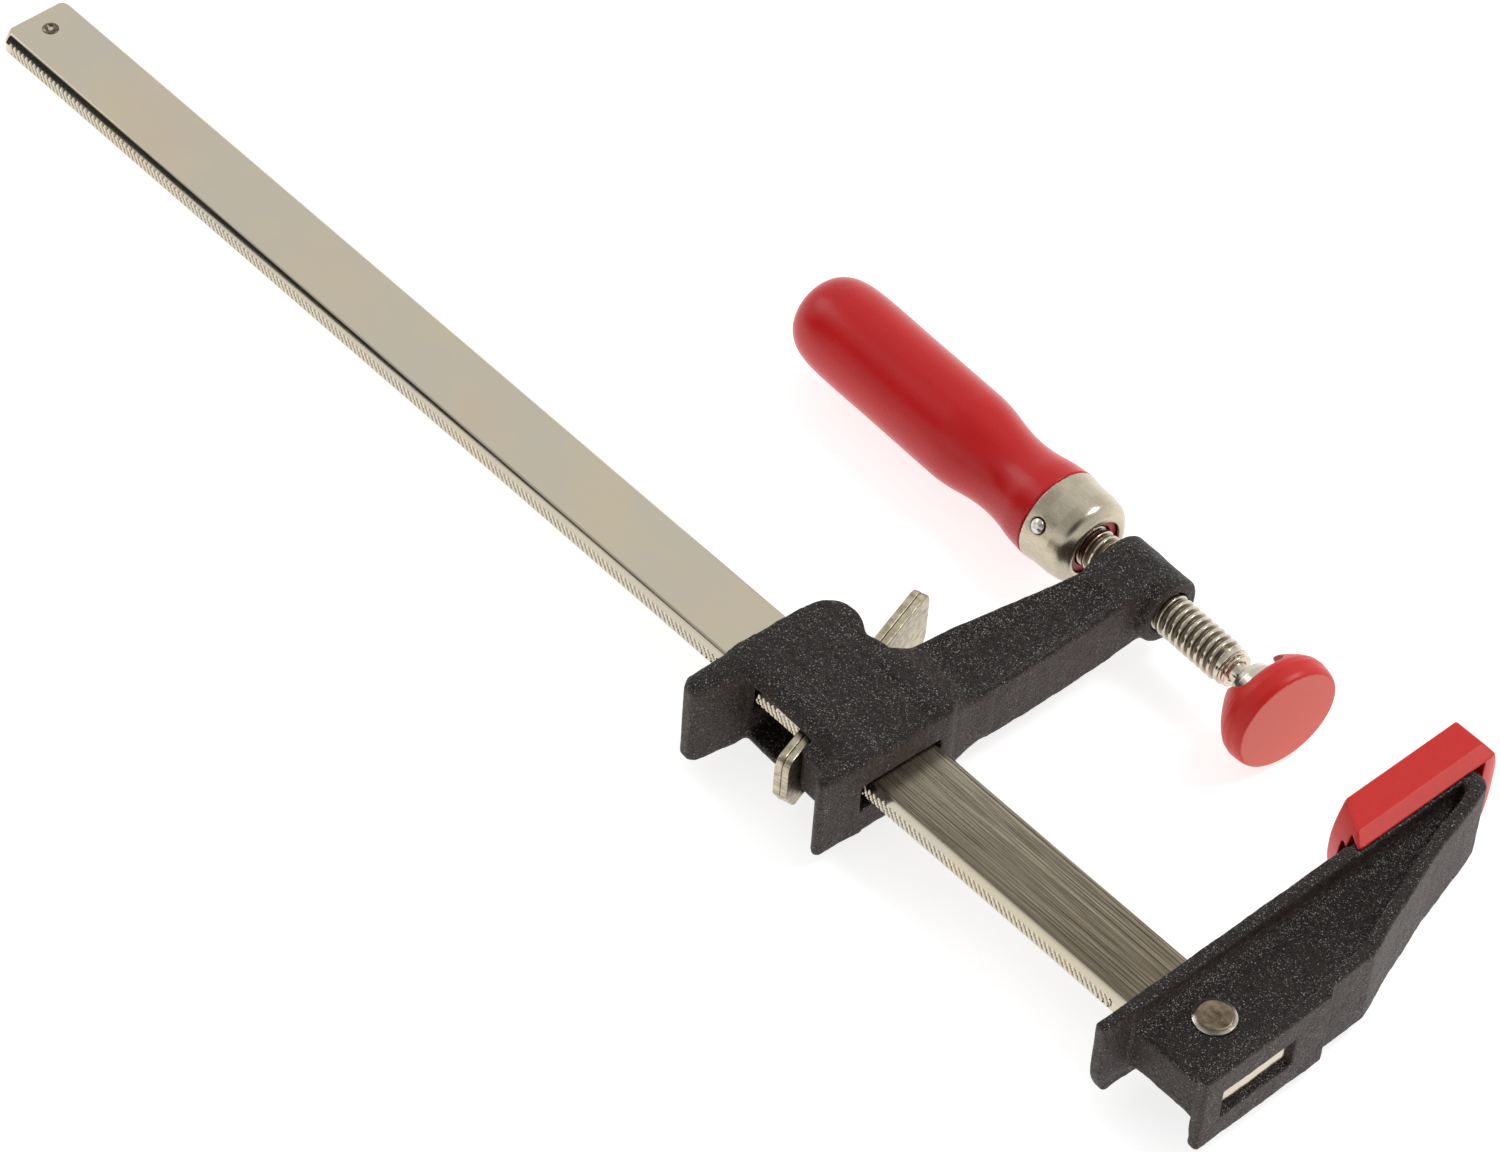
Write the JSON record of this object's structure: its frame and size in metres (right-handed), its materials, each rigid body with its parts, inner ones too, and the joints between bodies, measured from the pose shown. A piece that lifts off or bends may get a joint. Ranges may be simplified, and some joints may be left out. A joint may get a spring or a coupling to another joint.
{
  "type": "f clamp",
  "caption": "Bar clamp with a serrated steel bar, a riveted cast jaw, a sliding cast arm on clutch plates, and a screw with a turned wooden handle and a swivel pad.",
  "frame": {"origin": "centre of the fixed jaw's clamping face, on the level of the screw", "axes": "+X along the bar from its free end towards the fixed jaw, +Y from the bar towards the jaw tips, +Z normal to the plane of the clamp"},
  "size_m": [0.4057, 0.1231, 0.0276],
  "materials": {
    "bar_steel": "bright plated, brushed along the bar",
    "cast_iron_coat": "rough black speckled coat",
    "rivet_steel": "dull, as headed",
    "red_cap": "soft red plastic, semi-matt",
    "clutch_steel": "worn plated steel",
    "spring_steel": "bright spring wire",
    "screw_steel": "bright plated",
    "pad_steel": "bright plated",
    "handle_wood": "gloss red lacquer",
    "ferrule_nickel": "bright nickel plate"
  },
  "bodies": {
    "fixed": {"rail": "bar_steel", "rail_stop_pin": "bar_steel", "fixed_jaw": "cast_iron_coat", "fixed_jaw_rivet": "rivet_steel", "fixed_jaw_cap": "red_cap"},
    "arm": {"sliding_arm": "cast_iron_coat", "clutch_spring": "spring_steel"},
    "clutch": {"clutch_plate_1": "clutch_steel", "clutch_plate_2": "clutch_steel"},
    "screw_carrier": {"neck_washer": "screw_steel"},
    "screw": {"screw": "screw_steel", "handle": "handle_wood", "ferrule": "ferrule_nickel", "handle_pin": "ferrule_nickel"},
    "pad": {"swivel_pad": "pad_steel", "swivel_pad_cap": "red_cap"}
  },
  "joints": [
    {"name": "arm_slide", "type": "slide", "parent": "fixed", "child": "arm", "axis": [1, 0, 0], "range_m": [-0.25, 0.019]},
    {"name": "clutch_release", "type": "hinge", "parent": "arm", "child": "clutch", "pos_m": [-0.08148, -0.09345, 0], "axis": [0, 0, -1], "range_deg": [0, 4], "deforming": ["clutch_spring"]},
    {"name": "screw_turn", "type": "hinge", "parent": "screw_carrier", "child": "screw", "pos_m": [-0.07595, -0.00134, 0], "axis": [0.9992, -0.0387, 0], "range_deg": [-3602, 992]},
    {"name": "screw_feed", "type": "slide", "parent": "arm", "child": "screw_carrier", "axis": [0.9992, -0.0387, 0], "range_m": [-0.02, 0.0055]},
    {"name": "pad_tilt", "type": "hinge", "parent": "screw_carrier", "child": "pad", "pos_m": [-0.03916, -0.00276, 0], "axis": [0, 0, 1], "range_deg": [-1, 11]}
  ],
  "couplings": [
    {"joint": "screw_turn", "follows": "screw_feed", "rad_per_m": 3141.6}
  ]
}
